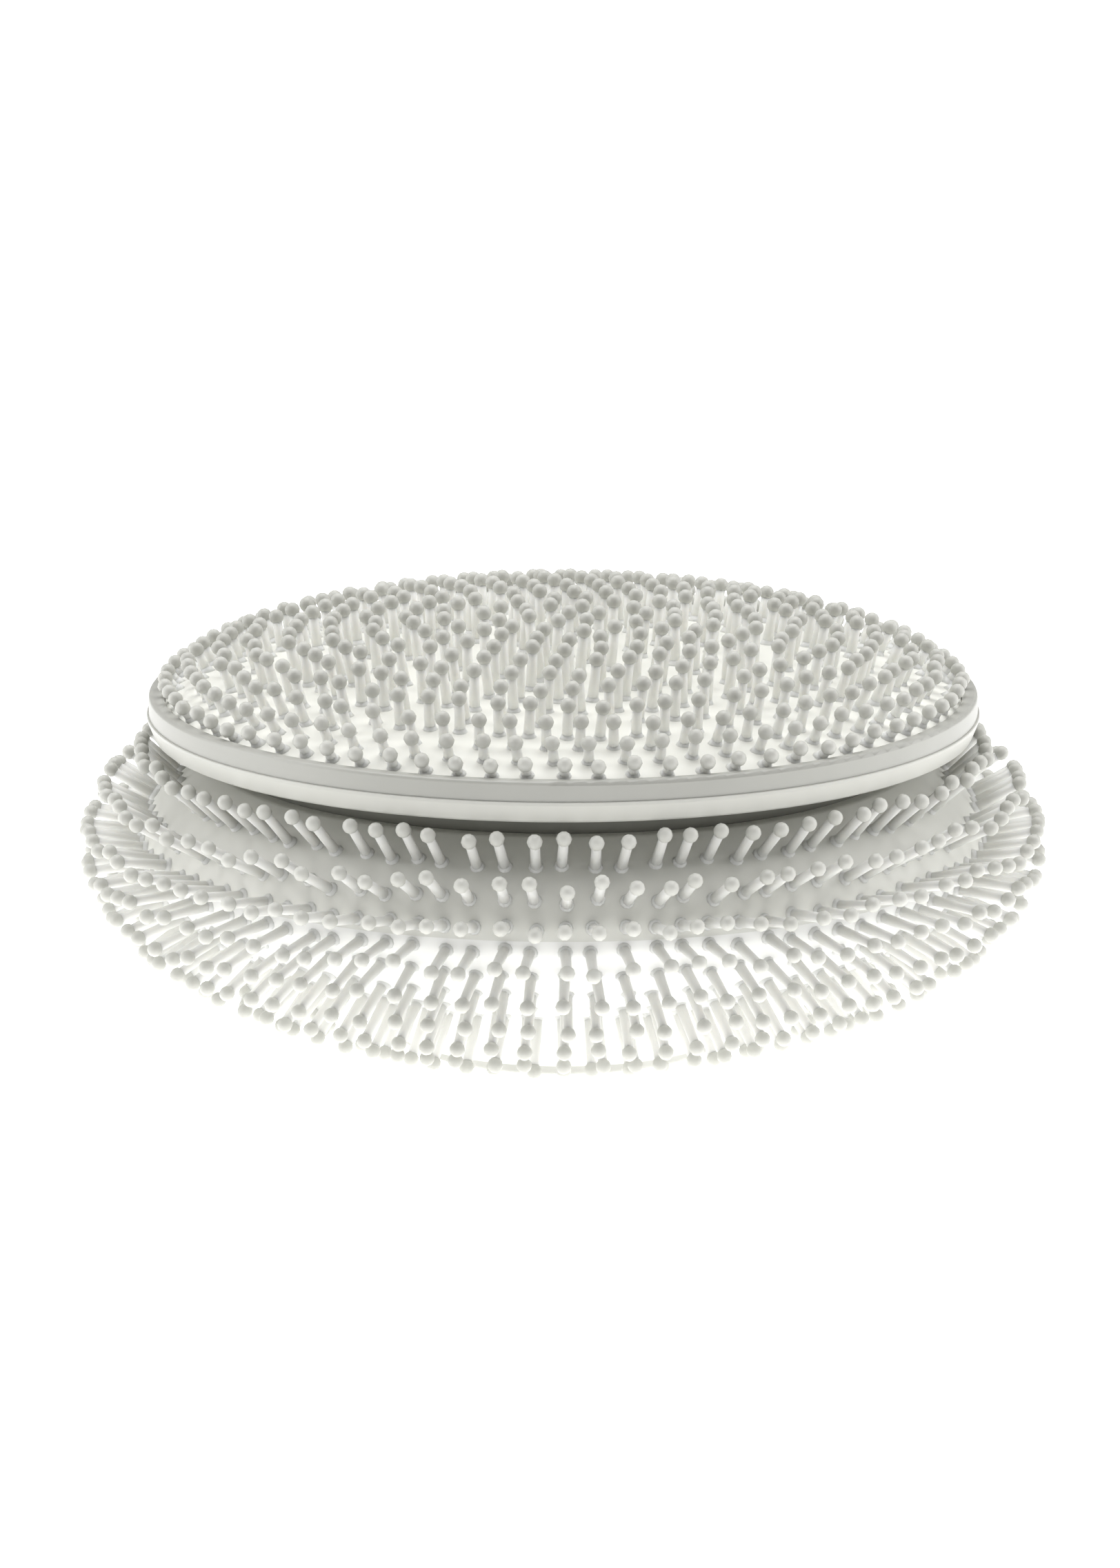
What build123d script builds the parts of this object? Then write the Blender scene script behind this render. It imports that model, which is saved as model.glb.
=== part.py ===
"""Two-tier flower frog: a weighted lower drum and a top disc that turns and lifts off, both studded with pins.

Millimetres, +Z up, origin on the table at the centre of the foot.
Every level is written as a height above the table.
"""
from build123d import *
from math import atan2, cos, degrees, radians, sin, sqrt
import os

os.makedirs("parts", exist_ok=True)

# ---- driving dimensions ----
DRUM_CENTRE = 31.5          # height of the lower drum's widest plane
HEAD_REACH = 74.1           # oval that the centres of the lower pins' heads lie on
HEAD_RISE = 32.0
SHELL_REACH = 65.6          # lower drum's shell, outside
SHELL_RISE = 23.4
SHELL_WALL = 3.0

HEAD_RADIUS = 1.2           # ball head of a pin
SHAFT_RADIUS = 0.85
PIN_SEAT = 2.2              # how deep a pin is pressed into its shell

DISC_UNDERSIDE = 48.7       # underside of the top disc
DISC_RADIUS = 64.5
FLOOR_TOP = 51.5            # inside floor of the tray
BAND_FOOT = 52.0            # where the rim band sits on the tray
BAND_TOP = 55.1
BAND_RADIUS = 64.2
BAND_INSIDE = 61.75
DOME_RADIUS = 61.6
DOME_REACH = 62.0           # the dome's curve is an oval of this reach and rise
DOME_RISE = 7.2
DOME_SPRING = 53.1          # level from which the dome's curve rises
DOME_WALL = 4.0
CROWN_FLAT = 0.01           # a hair's flat at the very middle of the dome

PAD_RADIUS = 25.5
FOOT_RADIUS = 27.0
FOOT_WALL = 2.5
FOOT_THICK = 1.8
FOOT_WALL_TOP = 12.2        # inside the shell's own thickness, so wall and shell are one moulding
COVER_THICK = 4.0
DECK_TOP = 44.5
DECK_THICK = 2.8
PARTING = DRUM_CENTRE - 0.4  # joint between the two shells, between two rows of pins
GASKET_HALF = 0.22

COLLAR_RADIUS = 24.0
DECK_HOLE = 24.1
COLLAR_FLANGE = 52.5
COLLAR_TOP = 47.5
SOCKET_RADIUS = 20.35
SOCKET_FLOOR = 40.3
BUSH_OUTSIDE = 20.3
BUSH_INSIDE = 18.55
BUSH_FLANGE = 28.0
SPIGOT_RADIUS = 18.5
SPIGOT_FOOT = 40.9

BALLAST_HUB = 24.2
BALLAST_REACH = 40.0
BALLAST_STEP = 19.0
BALLAST_TOP = 25.0
BOLT_RADIUS = 3.0
BOLT_HOLE = 3.3
BOLT_HEAD = 5.3

DOME_SCREWS = 6
DOME_SCREW_CIRCLE = 46.0
SCREW_RADIUS = 1.25
SCREW_HOLE = 1.5
SCREW_HEAD = 2.6
SCREW_POST = 3.4


# ---- shapes that repeat ----
def box(inside, outside, low, high):
    """A rectangle of the half section, from one radius to another and one level to another."""
    centre = Pos((inside + outside) / 2, (low + high) / 2)
    return centre * Rectangle(outside - inside, high - low)


def oval(reach, rise, level):
    """An ellipse of the section, centred on the axis."""
    return Pos(0, level) * Ellipse(reach, rise)


def turned(section):
    """The solid that a half section sweeps around the axis."""
    return revolve(Plane.XZ * section, Axis.Z)


def upright(radius, low, high, reach=0.0, angle=0.0):
    """A vertical cylinder between two levels, at a place on a circle."""
    place = Pos(reach * cos(radians(angle)), reach * sin(radians(angle)), (low + high) / 2)
    return place * Cylinder(radius, high - low)


def around(count):
    """Evenly spaced angles."""
    return [360 / count * step for step in range(count)]


def pin_length(radius, height, rise_angle, reach, rise):
    """From a head's centre, back along its pin to the oval it stands on, and on into the wall. height is
    measured from the oval's centre."""
    across = cos(radians(rise_angle)) / reach
    up = sin(radians(rise_angle)) / rise
    steep = across ** 2 + up ** 2
    half = (radius / reach * across + height / rise * up) / steep
    spare = ((radius / reach) ** 2 + (height / rise) ** 2 - 1) / steep
    return half - sqrt(half ** 2 - spare) + PIN_SEAT


def save(name, shape):
    export_step(shape, f"parts/{name}.step")


def pin(length):
    """One moulded pin: a straight shaft below a ball head, with the head's centre at the origin."""
    head = Circle(HEAD_RADIUS) & box(0, HEAD_RADIUS, -HEAD_RADIUS, HEAD_RADIUS)
    return turned(head + box(0, SHAFT_RADIUS, -length, 0)).solid()


def pin_ring(count, radius, level, rise_angle, length, turn=0.0):
    """A ring of pins that point outwards and rise_angle above the horizontal."""
    outwards = (cos(radians(rise_angle)), 0, sin(radians(rise_angle)))
    seat = Plane(origin=(radius, 0, level), x_dir=(0, 1, 0), z_dir=outwards)
    first = seat.location * pin(length)
    return Compound([Rot(0, 0, angle + turn) * first for angle in around(count)])


# ---- lower drum: shells, joint gasket ----
drum_outside = oval(SHELL_REACH, SHELL_RISE, DRUM_CENTRE)
drum_inside = oval(SHELL_REACH - SHELL_WALL, SHELL_RISE - SHELL_WALL, DRUM_CENTRE)
gasket_section = box(63.0, 64.9, PARTING - GASKET_HALF, PARTING + GASKET_HALF)

deck = drum_outside & box(DECK_HOLE, SHELL_REACH, DECK_TOP - DECK_THICK, DECK_TOP)
shoulder = (drum_outside - drum_inside) & box(DECK_HOLE, SHELL_REACH, PARTING, DECK_TOP)
upper_shell = turned(shoulder + deck - gasket_section)
deck_edge = upper_shell.edges().filter_by(GeomType.CIRCLE).group_by(Axis.Z)[-1].sort_by(SortBy.LENGTH)[-1]
save("upper_shell", fillet(deck_edge, 1.2))

foot_wall = box(FOOT_RADIUS - FOOT_WALL, FOOT_RADIUS, FOOT_THICK, FOOT_WALL_TOP)
bowl = (drum_outside - drum_inside) & box(FOOT_RADIUS - FOOT_WALL, SHELL_REACH, 0, PARTING)
save("lower_shell", turned(bowl + foot_wall - gasket_section))
save("joint_gasket", turned(gasket_section))

# ---- lower drum: base cover, ballast, centre bolt, foot pad ----
cover_top = FOOT_THICK + COVER_THICK
cover = box(BOLT_HOLE, FOOT_RADIUS - FOOT_WALL, FOOT_THICK, cover_top)
bolt_pocket = box(0, BOLT_HEAD + 0.3, FOOT_THICK, FOOT_THICK + 2.8)
save("base_cover", turned(cover - bolt_pocket))

ballast_hub = box(BOLT_HOLE, BALLAST_HUB, cover_top, BALLAST_STEP)
ballast_plate = box(BOLT_HOLE, BALLAST_REACH, BALLAST_STEP, BALLAST_TOP)
save("ballast_weight", chamfer(turned(ballast_hub + ballast_plate).edges().group_by(Axis.Z)[-1], 0.8))

bolt_top = DRUM_CENTRE + 2.5
bolt_section = box(0, BOLT_HEAD, FOOT_THICK + 0.3, FOOT_THICK + 2.8)
bolt_section += box(0, BOLT_RADIUS, FOOT_THICK + 2.8, bolt_top)
bolt = turned(bolt_section)
hex_key = Pos(0, 0, FOOT_THICK + 0.3) * extrude(RegularPolygon(2.5, 6), 1.8)
save("centre_bolt", bolt - hex_key)

grooves = box(15.0, 16.0, 0, 0.6) + box(22.4, 23.4, 0, 0.6)
foot = turned(box(12.0, PAD_RADIUS, 0, FOOT_THICK))
foot = fillet(foot.edges().group_by(Axis.Z)[0], 0.6)
save("foot_pad", foot - turned(grooves))

# ---- neck: collar on the deck, bush that the top disc turns on ----
collar = box(0, COLLAR_RADIUS, SOCKET_FLOOR - 3.0, DECK_TOP)
collar += box(SOCKET_RADIUS, COLLAR_FLANGE, DECK_TOP, COLLAR_TOP)
collar -= box(0, SOCKET_RADIUS, SOCKET_FLOOR, DECK_TOP)
collar += box(0, 9.0, BALLAST_TOP, SOCKET_FLOOR - 3.0)
collar -= box(0, BOLT_RADIUS + 0.05, BALLAST_TOP, bolt_top + 1.0)
collar = turned(collar)
save("neck_collar", chamfer(collar.edges().group_by(Axis.Z)[-1].sort_by(SortBy.LENGTH)[-1], 0.6))

bush = box(BUSH_INSIDE, BUSH_OUTSIDE, SPIGOT_FOOT, COLLAR_TOP)
bush += box(BUSH_INSIDE, BUSH_FLANGE, COLLAR_TOP, DISC_UNDERSIDE)
bush = turned(bush)
save("glide_bush", chamfer(bush.edges().group_by(Axis.Z)[-1].sort_by(SortBy.LENGTH)[-1], 0.3))

# ---- top disc: tray, rim band, dome, screws ----
tray_points = [
    (0, SPIGOT_FOOT),
    (SPIGOT_RADIUS, SPIGOT_FOOT),
    (SPIGOT_RADIUS, DISC_UNDERSIDE),
    (DISC_RADIUS - 1.5, DISC_UNDERSIDE),
    (DISC_RADIUS - 1.0, DISC_UNDERSIDE + 0.3),
    (DISC_RADIUS, BAND_FOOT - 0.5),
    (DISC_RADIUS, BAND_FOOT - 0.1),
    (DISC_RADIUS - 0.1, BAND_FOOT),
    (BAND_RADIUS - 1.0, BAND_FOOT),
    (BAND_RADIUS - 1.0, BAND_FOOT + 1.5),
    (BAND_INSIDE - 0.05, BAND_FOOT + 1.5),
    (BAND_INSIDE - 0.05, FLOOR_TOP),
    (SPIGOT_RADIUS - 3.5, FLOOR_TOP),
    (SPIGOT_RADIUS - 3.5, SPIGOT_FOOT + 2.5),
    (0, SPIGOT_FOOT + 2.5),
]
tray = turned(make_face(Polyline(*tray_points, close=True)))
for angle in around(DOME_SCREWS):
    tray -= upright(SCREW_HOLE, DISC_UNDERSIDE, FLOOR_TOP, DOME_SCREW_CIRCLE, angle)
    tray -= upright(SCREW_HEAD + 0.2, DISC_UNDERSIDE, DISC_UNDERSIDE + 1.6, DOME_SCREW_CIRCLE, angle)
save("top_tray", tray)

rim_band = box(BAND_INSIDE, BAND_RADIUS, BAND_FOOT, BAND_TOP)
rim_band -= box(BAND_INSIDE, BAND_RADIUS - 1.0, BAND_FOOT, BAND_FOOT + 1.5)
save("rim_band", fillet(turned(rim_band).edges().group_by(Axis.Z)[-1], 0.6))

dome_crown = oval(DOME_REACH, DOME_RISE, DOME_SPRING)
dome_crown &= box(0, DOME_RADIUS, DOME_SPRING - 0.5, DOME_SPRING + DOME_RISE - CROWN_FLAT)
hollow_top = DOME_SPRING + DOME_RISE - DOME_WALL
dome_hollow = oval(DOME_RADIUS - 4.6, hollow_top - FLOOR_TOP, FLOOR_TOP)
dome_hollow &= box(0, DOME_RADIUS - 4.6, FLOOR_TOP, hollow_top - CROWN_FLAT)
dome_edge = box(0, DOME_RADIUS, FLOOR_TOP, DOME_SPRING)
dome = turned(dome_crown + dome_edge - dome_hollow)
post_top = DOME_SPRING + DOME_RISE * sqrt(1 - (DOME_SCREW_CIRCLE / DOME_REACH) ** 2) - 1.5
for angle in around(DOME_SCREWS):
    dome += upright(SCREW_POST, FLOOR_TOP, post_top, DOME_SCREW_CIRCLE, angle)
for angle in around(DOME_SCREWS):
    dome -= upright(SCREW_RADIUS, FLOOR_TOP, FLOOR_TOP + 4.0, DOME_SCREW_CIRCLE, angle)
save("pin_dome", dome)

screws = []
for angle in around(DOME_SCREWS):
    head = upright(SCREW_HEAD, DISC_UNDERSIDE + 0.1, DISC_UNDERSIDE + 1.6, DOME_SCREW_CIRCLE, angle)
    shank = upright(SCREW_RADIUS, DISC_UNDERSIDE + 1.6, FLOOR_TOP + 3.5, DOME_SCREW_CIRCLE, angle)
    drive = upright(1.2, DISC_UNDERSIDE + 0.1, DISC_UNDERSIDE + 0.9, DOME_SCREW_CIRCLE, angle)
    screws.append((head + shank - drive).solid())
save("dome_screws", Compound(screws))

# ---- lower pins: rows of latitude from the shoulder to the underside ----
LOWER_ROWS = [(28.0, 84), (16.5, 88), (5.0, 92), (-5.5, 92), (-16.0, 88), (-26.5, 80), (-37.0, 72)]
LOWER_ROWS += [(-47.5, 60), (-58.0, 48)]
for row, (latitude, count) in enumerate(LOWER_ROWS, start=1):
    radius = HEAD_REACH * cos(radians(latitude))
    height = HEAD_RISE * sin(radians(latitude))
    square_on = degrees(atan2(sin(radians(latitude)) / HEAD_RISE, cos(radians(latitude)) / HEAD_REACH))
    from_centre = degrees(atan2(height, radius))
    # a pin points between square to the shell and straight out from the centre
    share = 0.8 if latitude > 0 else 0.5
    rise_angle = share * square_on + (1 - share) * from_centre
    length = pin_length(radius, height, rise_angle, SHELL_REACH, SHELL_RISE)
    save(f"lower_pins_row_{row}", pin_ring(count, radius, DRUM_CENTRE + height, rise_angle, length))

# ---- top pins: rings from the centre of the dome to its edge ----
TOP_RINGS = [(0.0, 1), (6.0, 7), (12.0, 14), (18.0, 21), (24.0, 28), (30.0, 35), (36.0, 42)]
TOP_RINGS += [(42.0, 49), (48.0, 56), (53.3, 62), (57.9, 67), (61.6, 72)]
CROWN_LEVEL = 53.0          # the heads' pillow-shaped surface springs from here
CROWN_RISE = 14.2
CROWN_REACH = 63.6
for ring, (radius, count) in enumerate(TOP_RINGS):
    level = CROWN_LEVEL + CROWN_RISE * sqrt(1 - (radius / CROWN_REACH) ** 2.5)
    out = radius / DISC_RADIUS
    rise_angle = 90 - 16 * out - 34 * out ** 8
    length = pin_length(radius, level - DOME_SPRING, rise_angle, DOME_REACH, DOME_RISE)
    save(f"top_pins_ring_{ring}", pin_ring(count, radius, level, rise_angle, length))
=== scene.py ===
import math
import random

import bpy
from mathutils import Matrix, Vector


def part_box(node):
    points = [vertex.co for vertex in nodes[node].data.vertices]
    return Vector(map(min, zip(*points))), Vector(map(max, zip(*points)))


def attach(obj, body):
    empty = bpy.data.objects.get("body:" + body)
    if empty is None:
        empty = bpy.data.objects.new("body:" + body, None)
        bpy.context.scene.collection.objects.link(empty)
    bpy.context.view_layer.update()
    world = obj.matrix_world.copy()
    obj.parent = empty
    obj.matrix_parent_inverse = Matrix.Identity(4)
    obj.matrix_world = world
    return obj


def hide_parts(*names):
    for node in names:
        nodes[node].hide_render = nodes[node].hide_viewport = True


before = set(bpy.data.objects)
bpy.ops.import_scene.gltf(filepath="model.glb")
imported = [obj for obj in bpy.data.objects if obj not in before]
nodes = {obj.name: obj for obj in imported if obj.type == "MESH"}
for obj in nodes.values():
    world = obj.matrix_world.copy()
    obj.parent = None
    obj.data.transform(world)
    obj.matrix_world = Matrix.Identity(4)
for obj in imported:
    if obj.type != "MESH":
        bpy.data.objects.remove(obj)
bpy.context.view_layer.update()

MM = 0.001


# ---- Foot pad ----
# A ring of soft, pale, milky rubber glued under the drum, so that it grips wet glass and glaze. It carries
# the whole object, and it is a matt moulding with a fine, slightly dusty skin.
TONE_SPREAD = 0.15


def new_material(name):
    """A material with nothing set yet, and its shader."""
    material = bpy.data.materials.new(name)
    material.use_nodes = True
    return material, material.node_tree.nodes["Principled BSDF"]


def wire(material, source, target):
    material.node_tree.links.new(source, target)


def noise(material, scale, detail=3.0, stretch=(1, 1, 1)):
    """Noise on object coordinates. stretch draws it out into streaks."""
    tree = material.node_tree
    place = tree.nodes.new("ShaderNodeTexCoord")
    spread = tree.nodes.new("ShaderNodeMapping")
    spread.inputs["Scale"].default_value = stretch
    texture = tree.nodes.new("ShaderNodeTexNoise")
    texture.inputs["Scale"].default_value = scale
    texture.inputs["Detail"].default_value = detail
    wire(material, place.outputs["Object"], spread.inputs["Vector"])
    wire(material, spread.outputs["Vector"], texture.inputs["Vector"])
    return texture.outputs["Fac"]


def two_tones(material, shader, driver, light, dark):
    """The colour drifts between two close tones, over the middle of the noise."""
    tones = material.node_tree.nodes.new("ShaderNodeValToRGB")
    tones.color_ramp.elements[0].position = 0.5 - TONE_SPREAD
    tones.color_ramp.elements[0].color = (*dark, 1)
    tones.color_ramp.elements[1].position = 0.5 + TONE_SPREAD
    tones.color_ramp.elements[1].color = (*light, 1)
    wire(material, driver, tones.inputs["Fac"])
    wire(material, tones.outputs["Color"], shader.inputs["Base Color"])


def shine_range(material, shader, driver, smooth, rough):
    """Roughness drifts between two values."""
    span = material.node_tree.nodes.new("ShaderNodeMapRange")
    span.inputs["To Min"].default_value = smooth
    span.inputs["To Max"].default_value = rough
    wire(material, driver, span.inputs["Value"])
    wire(material, span.outputs["Result"], shader.inputs["Roughness"])


def relief(material, shader, *layers):
    """Bumps, coarse to fine. Each layer is (driver, height in mm, strength)."""
    below = None
    for driver, height, strength in layers:
        bump = material.node_tree.nodes.new("ShaderNodeBump")
        bump.inputs["Distance"].default_value = height * MM
        bump.inputs["Strength"].default_value = strength
        wire(material, driver, bump.inputs["Height"])
        if below:
            wire(material, below.outputs["Normal"], bump.inputs["Normal"])
        below = bump
    wire(material, below.outputs["Normal"], shader.inputs["Normal"])


def finish_nodes(material, *names):
    """CAD pieces keep their shape and take a finish."""
    for name in names:
        nodes[name].data.materials.clear()
        nodes[name].data.materials.append(material)


rubber, shader = new_material("pale_rubber")
dust = noise(rubber, 180.0, 5.0)
two_tones(rubber, shader, dust, (0.56, 0.56, 0.53), (0.48, 0.48, 0.45))
shine_range(rubber, shader, dust, 0.72, 0.92)
relief(rubber, shader, (dust, 0.05, 0.4), (noise(rubber, 2400.0), 0.02, 0.5))
finish_nodes(rubber, "foot_pad", "joint_gasket")


# ---- Drum shells, base cover and neck collar ----
# Injection-moulded plastic with a satin, finely grained skin. Two ivory shells meet at the widest line. The
# bowl and its cover take a paler copy of the plastic, painted light for the glow off the table below, and the
# broad collar seated in the deck on top is painted dark grey: painted shade, where the disc overhangs it.
def moulded_ivory(name, light, dark, roughness, glow=0.12):
    """Satin moulded plastic that lets a little light in, drifts between two tones and has a fine grain."""
    material, shader = new_material(name)
    shader.inputs["IOR"].default_value = 1.47
    shader.inputs["Subsurface Weight"].default_value = glow
    shader.inputs["Subsurface Scale"].default_value = 1.5 * MM
    shader.inputs["Subsurface Radius"].default_value = (1.0, 0.92, 0.78)
    drift = noise(material, 34.0, 4.0)
    two_tones(material, shader, drift, light, dark)
    shine_range(material, shader, drift, roughness - 0.06, roughness + 0.06)
    relief(material, shader, (drift, 0.12, 0.25), (noise(material, 2600.0, 2.0), 0.012, 0.35))
    return material


drum_ivory = moulded_ivory("drum_ivory", (0.70, 0.70, 0.655), (0.66, 0.66, 0.615), 0.46)
finish_nodes(drum_ivory, "upper_shell")
# The bowl and cover take a paler copy of the shell plastic: painted light from the table below.
bowl_ivory_painted_light = moulded_ivory("bowl_ivory_painted_light", (0.82, 0.82, 0.80), (0.78, 0.78, 0.76), 0.46)
finish_nodes(bowl_ivory_painted_light, "lower_shell", "base_cover")
# The collar's dark grey is painted shade, for the gap under the disc's overhang.
collar_painted_shade = moulded_ivory("collar_painted_shade", (0.20, 0.20, 0.175), (0.17, 0.17, 0.145), 0.50, 0.0)
finish_nodes(collar_painted_shade, "neck_collar")

# ---- Ballast and centre bolt ----
# A cast weight, dipped in black paint that leaves the casting's skin showing, and one stainless bolt that
# clamps cover, weight and collar together. Its turned head has faint rings from the lathe.
iron, shader = new_material("painted_casting")
skin = noise(iron, 420.0, 6.0)
two_tones(iron, shader, skin, (0.055, 0.055, 0.058), (0.028, 0.028, 0.030))
shine_range(iron, shader, skin, 0.42, 0.66)
relief(iron, shader, (skin, 0.18, 0.6))
finish_nodes(iron, "ballast_weight")

steel, shader = new_material("turned_steel")
shader.inputs["Metallic"].default_value = 1.0
rings = noise(steel, 900.0, 3.0, (1, 1, 0.05))
two_tones(steel, shader, rings, (0.66, 0.66, 0.67), (0.52, 0.52, 0.53))
shine_range(steel, shader, rings, 0.24, 0.40)
relief(steel, shader, (rings, 0.01, 0.4))
finish_nodes(steel, "centre_bolt", "dome_screws")

# ---- Lower pins ----
# Nine rows of pins stand out of the drum. Each is a moulded shaft with a small flared root and a grey ball
# head, pressed into the shell, and none stands quite as true as its neighbour. A row is (latitude, count).
HEAD_RADIUS = 1.2 * MM
SHAFT_RADIUS = 0.85 * MM
SHAFT_TAPER = 0.86
SHAFT_SIDES = 10
ROOT_FLARE = 1.55
ROOT_HEIGHT = 1.1 * MM
ROOT_SUNK = 0.4 * MM
LOWER_ROWS = [(28.0, 84), (16.5, 88), (5.0, 92), (-5.5, 92), (-16.0, 88), (-26.5, 80), (-37.0, 72)]
LOWER_ROWS += [(-47.5, 60), (-58.0, 48)]


def pin_tree(name):
    """Geometry nodes: a shaft, a flared root and a ball head on every point, along that point's heading."""
    tree = bpy.data.node_groups.new(name, "GeometryNodeTree")
    face = tree.interface
    face.new_socket("Geometry", in_out="INPUT", socket_type="NodeSocketGeometry")
    for label, kind, value in [
        ("Shaft Radius", "NodeSocketFloat", SHAFT_RADIUS),
        ("Head Radius", "NodeSocketFloat", HEAD_RADIUS),
        ("Lean", "NodeSocketFloat", 0.1),
        ("Seed", "NodeSocketInt", 1),
        ("Shaft Material", "NodeSocketMaterial", None),
        ("Head Material", "NodeSocketMaterial", None),
    ]:
        socket = face.new_socket(label, in_out="INPUT", socket_type=kind)
        if value is not None:
            socket.default_value = value
    face.new_socket("Geometry", in_out="OUTPUT", socket_type="NodeSocketGeometry")

    def add(kind, **settings):
        node = tree.nodes.new(kind)
        for key, value in settings.items():
            setattr(node, key, value)
        return node

    def join(source, target):
        tree.links.new(source, target)

    given = add("NodeGroupInput")
    made = add("NodeGroupOutput")
    heading = add("GeometryNodeInputNamedAttribute", data_type="FLOAT_VECTOR")
    heading.inputs["Name"].default_value = "heading"
    reach = add("GeometryNodeInputNamedAttribute", data_type="FLOAT")
    reach.inputs["Name"].default_value = "reach"

    # which way each pin points: its heading, then a small lean of its own
    aim = add("FunctionNodeAlignRotationToVector", axis="Z")
    join(heading.outputs["Attribute"], aim.inputs["Vector"])
    less = add("ShaderNodeMath", operation="MULTIPLY")
    less.inputs[1].default_value = -1.0
    join(given.outputs["Lean"], less.inputs[0])
    lean_low = add("ShaderNodeCombineXYZ")
    lean_high = add("ShaderNodeCombineXYZ")
    for axis in ("X", "Y"):
        join(less.outputs[0], lean_low.inputs[axis])
        join(given.outputs["Lean"], lean_high.inputs[axis])
    lean = add("FunctionNodeRandomValue", data_type="FLOAT_VECTOR")
    join(lean_low.outputs[0], lean.inputs["Min"])
    join(lean_high.outputs[0], lean.inputs["Max"])
    join(given.outputs["Seed"], lean.inputs["Seed"])
    turn = add("FunctionNodeEulerToRotation")
    join(lean.outputs["Value"], turn.inputs[0])
    pose = add("FunctionNodeRotateRotation", rotation_space="LOCAL")
    join(aim.outputs[0], pose.inputs["Rotation"])
    join(turn.outputs[0], pose.inputs["Rotate By"])

    # the shaft is one unit long and is stretched to each pin's reach
    thin = add("ShaderNodeMath", operation="MULTIPLY")
    thin.inputs[1].default_value = SHAFT_TAPER
    join(given.outputs["Shaft Radius"], thin.inputs[0])
    shaft = add("GeometryNodeMeshCone")
    shaft.inputs["Vertices"].default_value = SHAFT_SIDES
    shaft.inputs["Depth"].default_value = 1.0
    join(thin.outputs[0], shaft.inputs["Radius Top"])
    join(given.outputs["Shaft Radius"], shaft.inputs["Radius Bottom"])
    stretch = add("ShaderNodeCombineXYZ")
    stretch.inputs["X"].default_value = 1.0
    stretch.inputs["Y"].default_value = 1.0
    join(reach.outputs["Attribute"], stretch.inputs["Z"])
    shafts = add("GeometryNodeInstanceOnPoints")
    join(given.outputs["Geometry"], shafts.inputs["Points"])
    join(shaft.outputs["Mesh"], shafts.inputs["Instance"])
    join(pose.outputs[0], shafts.inputs["Rotation"])
    join(stretch.outputs[0], shafts.inputs["Scale"])

    # the flared root
    wide = add("ShaderNodeMath", operation="MULTIPLY")
    wide.inputs[1].default_value = ROOT_FLARE
    join(given.outputs["Shaft Radius"], wide.inputs[0])
    flare = add("GeometryNodeMeshCone")
    flare.inputs["Vertices"].default_value = SHAFT_SIDES
    flare.inputs["Depth"].default_value = ROOT_HEIGHT
    join(given.outputs["Shaft Radius"], flare.inputs["Radius Top"])
    join(wide.outputs[0], flare.inputs["Radius Bottom"])
    flares = add("GeometryNodeInstanceOnPoints")
    join(given.outputs["Geometry"], flares.inputs["Points"])
    join(flare.outputs["Mesh"], flares.inputs["Instance"])
    join(pose.outputs[0], flares.inputs["Rotation"])

    # the ball head sits at the far end of the leaning shaft
    away = add("ShaderNodeCombineXYZ")
    join(reach.outputs["Attribute"], away.inputs["Z"])
    end = add("FunctionNodeRotateVector")
    join(away.outputs[0], end.inputs["Vector"])
    join(pose.outputs[0], end.inputs["Rotation"])
    tips = add("GeometryNodeSetPosition")
    join(given.outputs["Geometry"], tips.inputs["Geometry"])
    join(end.outputs[0], tips.inputs["Offset"])
    ball = add("GeometryNodeMeshUVSphere")
    ball.inputs["Segments"].default_value = 10
    ball.inputs["Rings"].default_value = 6
    join(given.outputs["Head Radius"], ball.inputs["Radius"])
    heads = add("GeometryNodeInstanceOnPoints")
    join(tips.outputs["Geometry"], heads.inputs["Points"])
    join(ball.outputs["Mesh"], heads.inputs["Instance"])
    join(pose.outputs[0], heads.inputs["Rotation"])

    # shafts and roots are one colour, heads another
    stems = add("GeometryNodeJoinGeometry")
    join(shafts.outputs["Instances"], stems.inputs[0])
    join(flares.outputs["Instances"], stems.inputs[0])
    finished = []
    stem_parts = (stems.outputs[0], "Shaft Material")
    head_parts = (heads.outputs["Instances"], "Head Material")
    for source, label in (stem_parts, head_parts):
        real = add("GeometryNodeRealizeInstances")
        smooth = add("GeometryNodeSetShadeSmooth")
        paint = add("GeometryNodeSetMaterial")
        join(source, real.inputs[0])
        join(real.outputs[0], smooth.inputs[0])
        join(smooth.outputs[0], paint.inputs["Geometry"])
        join(given.outputs[label], paint.inputs["Material"])
        finished.append(paint)
    whole = add("GeometryNodeJoinGeometry")
    for paint in finished:
        join(paint.outputs[0], whole.inputs[0])
    join(whole.outputs[0], made.inputs[0])
    return tree


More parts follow.
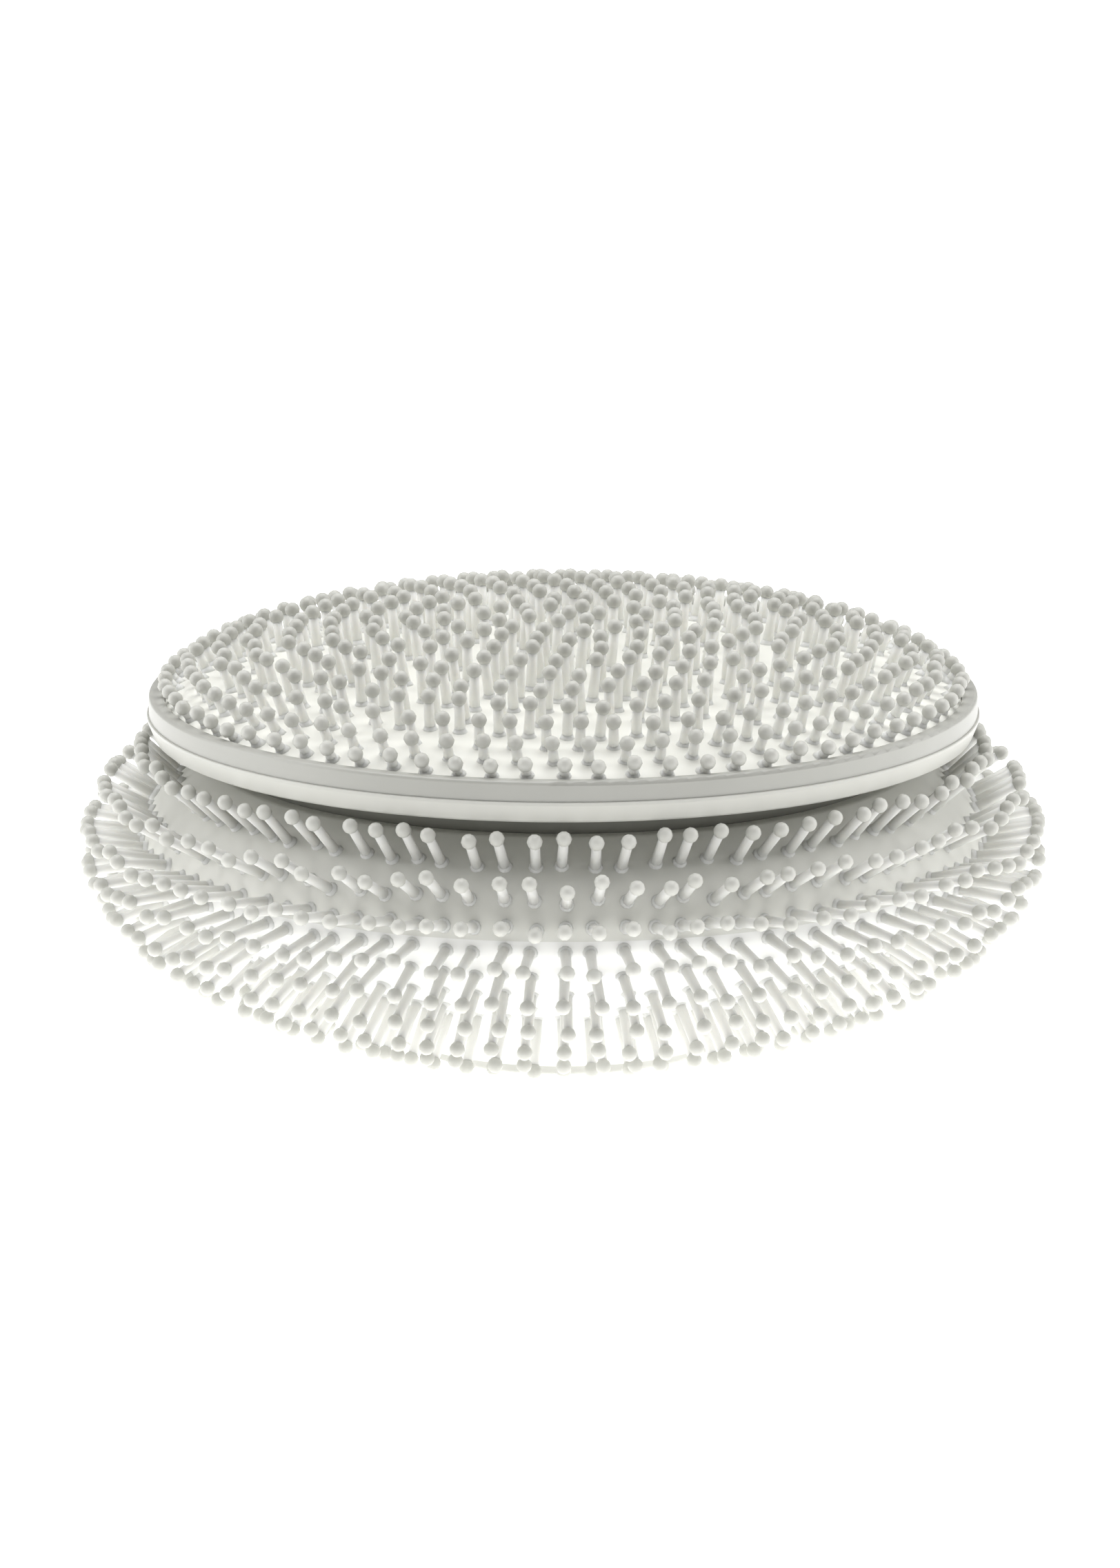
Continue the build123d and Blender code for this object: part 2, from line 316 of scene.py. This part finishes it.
def plant_pins(name, tree, pins, lean, seed, shaft_material, head_material):
    """One mesh of pins. pins holds (root, heading, reach) for each."""
    seeds = bpy.data.meshes.new(name + "_roots")
    seeds.from_pydata([root for root, _, _ in pins], [], [])
    headings = seeds.attributes.new("heading", "FLOAT_VECTOR", "POINT")
    headings.data.foreach_set("vector", [part for _, heading, _ in pins for part in heading])
    reaches = seeds.attributes.new("reach", "FLOAT", "POINT")
    reaches.data.foreach_set("value", [reach for _, _, reach in pins])
    holder = bpy.data.objects.new(name + "_roots", seeds)
    bpy.context.scene.collection.objects.link(holder)
    grow = holder.modifiers.new("grow", "NODES")
    grow.node_group = tree
    values = {
        "Shaft Radius": SHAFT_RADIUS,
        "Head Radius": HEAD_RADIUS,
        "Lean": lean,
        "Seed": seed,
        "Shaft Material": shaft_material,
        "Head Material": head_material,
    }
    for item in tree.interface.items_tree:
        if item.in_out == "INPUT" and item.name in values:
            grow[item.identifier] = values[item.name]
    bpy.context.view_layer.update()
    grown = holder.evaluated_get(bpy.context.evaluated_depsgraph_get())
    mesh = bpy.data.meshes.new_from_object(grown)
    bpy.data.objects.remove(holder)
    piece = bpy.data.objects.new(name, mesh)
    bpy.context.scene.collection.objects.link(piece)
    return piece


def root_distance(head, heading, centre, reach, rise):
    """How far back along a pin from its head the surface of an oval shell lies."""
    start = head - centre
    p = Vector((start.x / reach, start.y / reach, start.z / rise))
    d = -Vector((heading.x / reach, heading.y / reach, heading.z / rise))
    half = p.dot(d)
    return (-half - math.sqrt(half * half - d.dot(d) * (p.dot(p) - 1))) / d.dot(d)


def pin_at(angle, radius, level, rise_angle, shell):
    """Root, heading and reach of one pin whose head stands at an angle, radius and level. shell is
    (centre, reach, rise) of the oval that it is pressed into."""
    outwards = Vector((math.cos(angle), math.sin(angle), 0))
    heading = outwards * math.cos(rise_angle) + Vector((0, 0, math.sin(rise_angle)))
    head = outwards * radius + Vector((0, 0, level))
    reach = root_distance(head, heading, *shell) + ROOT_SUNK
    return head - heading * reach, heading, reach


pins_tree = pin_tree("ball_headed_pins")
head_grey = moulded_ivory("head_grey", (0.56, 0.56, 0.525), (0.49, 0.49, 0.455), 0.40)

DRUM_CENTRE = Vector((0, 0, 31.5 * MM))
HEAD_REACH = 74.1 * MM
HEAD_RISE = 32.0 * MM
SHELL_RISE = 23.4 * MM
LATITUDE_STRAY = 1.3
STEP_STRAY = 0.14
SQUARE_SHARE_ABOVE = 0.8
SQUARE_SHARE_BELOW = 0.5
drum_shell = (DRUM_CENTRE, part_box("upper_shell")[1].x, SHELL_RISE)
stray = random.Random(11)
drum_pins = []
for latitude, count in LOWER_ROWS:
    for step in range(count):
        loose = 0.5 if latitude > 20 else 1.0
        tilt = math.radians(latitude + stray.uniform(-LATITUDE_STRAY, LATITUDE_STRAY) * loose)
        angle = 2 * math.pi * (step + stray.uniform(-STEP_STRAY, STEP_STRAY)) / count
        radius = HEAD_REACH * math.cos(tilt)
        height = HEAD_RISE * math.sin(tilt)
        square_on = math.atan2(math.sin(tilt) / HEAD_RISE, math.cos(tilt) / HEAD_REACH)
        share = SQUARE_SHARE_ABOVE if latitude > 0 else SQUARE_SHARE_BELOW
        rise_angle = share * square_on + (1 - share) * math.atan2(height, radius)
        drum_pins.append(pin_at(angle, radius, DRUM_CENTRE.z + height, rise_angle, drum_shell))
# The drum's shafts take a darker copy of the pin plastic: painted shade, for the light the disc and the rows
# above keep off them.
shaft_painted_shade = moulded_ivory("shaft_painted_shade", (0.72, 0.72, 0.695), (0.68, 0.68, 0.655), 0.42, 0.2)
lower_pins = plant_pins("lower_pins", pins_tree, drum_pins, 0.05, 3, shaft_painted_shade, head_grey)
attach(lower_pins, "drum")
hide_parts(*[f"lower_pins_row_{row}" for row in range(1, 10)])

# ---- Glide bush ----
# A flanged bush of white acetal that drops into the collar. The disc's spigot turns in it, and its flange
# carries the disc, so it is slick, a little waxy, and polished in rings where the disc rubs.
acetal, shader = new_material("white_acetal")
shader.inputs["IOR"].default_value = 1.48
shader.inputs["Subsurface Weight"].default_value = 0.2
shader.inputs["Subsurface Scale"].default_value = 1.2 * MM
rubbed = noise(acetal, 260.0, 3.0, (1, 1, 0.2))
two_tones(acetal, shader, rubbed, (0.84, 0.84, 0.81), (0.79, 0.79, 0.76))
shine_range(acetal, shader, rubbed, 0.20, 0.34)
relief(acetal, shader, (rubbed, 0.01, 0.3))
finish_nodes(acetal, "glide_bush")

# ---- Top disc: tray, rim band and dome ----
# The tray's bottom edge is a pale lip that slants under and catches the light off the table. The band above
# it is the same plastic from a smoother mould, painted a shade greyer as shade on its upright face, and the
# dome inside it carries the pins.
tray_ivory = moulded_ivory("tray_ivory", (0.55, 0.55, 0.51), (0.51, 0.51, 0.475), 0.36)
finish_nodes(tray_ivory, "top_tray")
# The band's greyer copy of the tray plastic is painted shade on its upright face.
band_ivory = moulded_ivory("band_ivory", (0.42, 0.42, 0.39), (0.385, 0.385, 0.355), 0.34)
finish_nodes(band_ivory, "rim_band")
dome_ivory = moulded_ivory("dome_ivory", (0.80, 0.80, 0.75), (0.76, 0.76, 0.71), 0.46)
finish_nodes(dome_ivory, "pin_dome")

# ---- Top pins ----
# The same pins, in rings from the middle of the dome to its edge, in the plastic's own pale tone; the drum's
# shafts are a darker copy of it, painted shade. They stand up in the middle, lean out towards the edge, and
# their heads make a pillow shape. A ring is (radius in mm, count).
TOP_RINGS = [(0.0, 1), (6.0, 7), (12.0, 14), (18.0, 21), (24.0, 28), (30.0, 35), (36.0, 42)]
TOP_RINGS += [(42.0, 49), (48.0, 56), (53.3, 62), (57.9, 67), (61.6, 72)]
CROWN_LEVEL = 53.0 * MM
CROWN_RISE = 14.2 * MM
CROWN_REACH = 63.6 * MM
CROWN_POWER = 2.5
DOME_SPRING = Vector((0, 0, 53.1 * MM))
DOME_EASE = 0.4 * MM
DOME_RISE = 7.2 * MM
EVEN_LEAN = 16
RIM_LEAN = 34
RIM_POWER = 8
RADIUS_STRAY = 0.8
OUTER_RINGS = 10
disc_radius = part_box("top_tray")[1].x
dome_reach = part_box("pin_dome")[1].x + DOME_EASE
dome_shell = (DOME_SPRING, dome_reach, DOME_RISE)
pin_ivory = moulded_ivory("pin_ivory", (0.84, 0.84, 0.81), (0.80, 0.80, 0.77), 0.42, 0.3)
crown_pins = []
for ring, (radius, count) in enumerate(TOP_RINGS):
    for step in range(count):
        loose = 1.0 if ring < OUTER_RINGS else 0.3
        out = radius * MM + stray.uniform(-RADIUS_STRAY, RADIUS_STRAY) * MM * loose
        angle = 2 * math.pi * (step + stray.uniform(-STEP_STRAY, STEP_STRAY) * loose) / count
        level = CROWN_LEVEL + CROWN_RISE * math.sqrt(1 - (abs(out) / CROWN_REACH) ** CROWN_POWER)
        far = abs(out) / disc_radius
        lean = math.radians(EVEN_LEAN * far + RIM_LEAN * far ** RIM_POWER)
        crown_pins.append(pin_at(angle, out, level, math.pi / 2 - lean, dome_shell))
top_pins = plant_pins("top_pins", pins_tree, crown_pins, 0.08, 5, pin_ivory, head_grey)
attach(top_pins, "top_disc")
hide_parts(*[f"top_pins_ring_{ring}" for ring in range(len(TOP_RINGS))])

# ---- Table and light ----
# A white light table, brighter under the object than further out, so that the underside is filled from below.
# One broad soft light hangs overhead, with a strip of light at each side.
floor_mesh = bpy.data.meshes.new("table")
TABLE_HALF = 4.0
GLOW_INNER = 0.08
GLOW_OUTER = 0.22
GLOW_UNDER = 1.35
GLOW_AROUND = 0.68
LIGHT_AIM = Vector((0, 0, 0.04))
OVERHEAD_POWER = 17.0
STRIP_POWER = 5.5
corners = [(-TABLE_HALF, -TABLE_HALF, 0), (TABLE_HALF, -TABLE_HALF, 0), (TABLE_HALF, TABLE_HALF, 0)]
corners.append((-TABLE_HALF, TABLE_HALF, 0))
floor_mesh.from_pydata(corners, [], [(0, 1, 2, 3)])
floor = bpy.data.objects.new("table", floor_mesh)
bpy.context.scene.collection.objects.link(floor)
table_white, shader = new_material("table_white")
shader.inputs["Base Color"].default_value = (0.85, 0.85, 0.85, 1)
shader.inputs["Roughness"].default_value = 0.9
shader.inputs["Emission Color"].default_value = (1.0, 1.0, 0.99, 1)
spot = table_white.node_tree.nodes.new("ShaderNodeTexCoord")
spread = table_white.node_tree.nodes.new("ShaderNodeVectorMath")
spread.operation = "LENGTH"
glow = table_white.node_tree.nodes.new("ShaderNodeMapRange")
glow.interpolation_type = "SMOOTHSTEP"
glow.inputs["From Min"].default_value = GLOW_INNER
glow.inputs["From Max"].default_value = GLOW_OUTER
glow.inputs["To Min"].default_value = GLOW_UNDER
glow.inputs["To Max"].default_value = GLOW_AROUND
wire(table_white, spot.outputs["Object"], spread.inputs[0])
wire(table_white, spread.outputs["Value"], glow.inputs["Value"])
wire(table_white, glow.outputs["Result"], shader.inputs["Emission Strength"])
floor_mesh.materials.append(table_white)

world = bpy.data.worlds.new("studio")
world.use_nodes = True
world.node_tree.nodes["Background"].inputs["Color"].default_value = (1.0, 1.0, 1.0, 1)
world.node_tree.nodes["Background"].inputs["Strength"].default_value = 0.25
bpy.context.scene.world = world
bpy.context.scene.view_settings.view_transform = "Standard"


def softbox(name, place, size, power):
    """A square soft light that faces the object."""
    lamp_data = bpy.data.lights.new(name, "AREA")
    lamp_data.size = size
    lamp_data.energy = power
    lamp = bpy.data.objects.new(name, lamp_data)
    lamp.location = place
    lamp.rotation_euler = (LIGHT_AIM - Vector(place)).to_track_quat("-Z", "Y").to_euler()
    bpy.context.scene.collection.objects.link(lamp)


softbox("overhead", (0.0, 0.20, 1.2), 1.3, OVERHEAD_POWER)
softbox("left_strip", (-1.0, 0.1, 0.45), 0.8, STRIP_POWER)
softbox("right_strip", (1.0, 0.1, 0.45), 0.8, STRIP_POWER)

# ---- Camera ----
# Seen a little from above through a long lens, so that the ovals stay almost true.
camera_data = bpy.data.cameras.new("camera")
camera = bpy.data.objects.new("camera", camera_data)
bpy.context.scene.collection.objects.link(camera)
bpy.context.scene.camera = camera
CAMERA_HEIGHT = math.radians(13.0)
CAMERA_DISTANCE = 1.35
FRAME_HEIGHT = 0.2436
aim = Vector((-0.0005, 0, 0.0400))
camera_data.lens = camera_data.sensor_width * CAMERA_DISTANCE / FRAME_HEIGHT
back = Vector((0, -math.cos(CAMERA_HEIGHT), math.sin(CAMERA_HEIGHT)))
camera.location = aim + back * CAMERA_DISTANCE
camera.rotation_euler = (-back).to_track_quat("-Z", "Y").to_euler()
camera_data.clip_end = 20
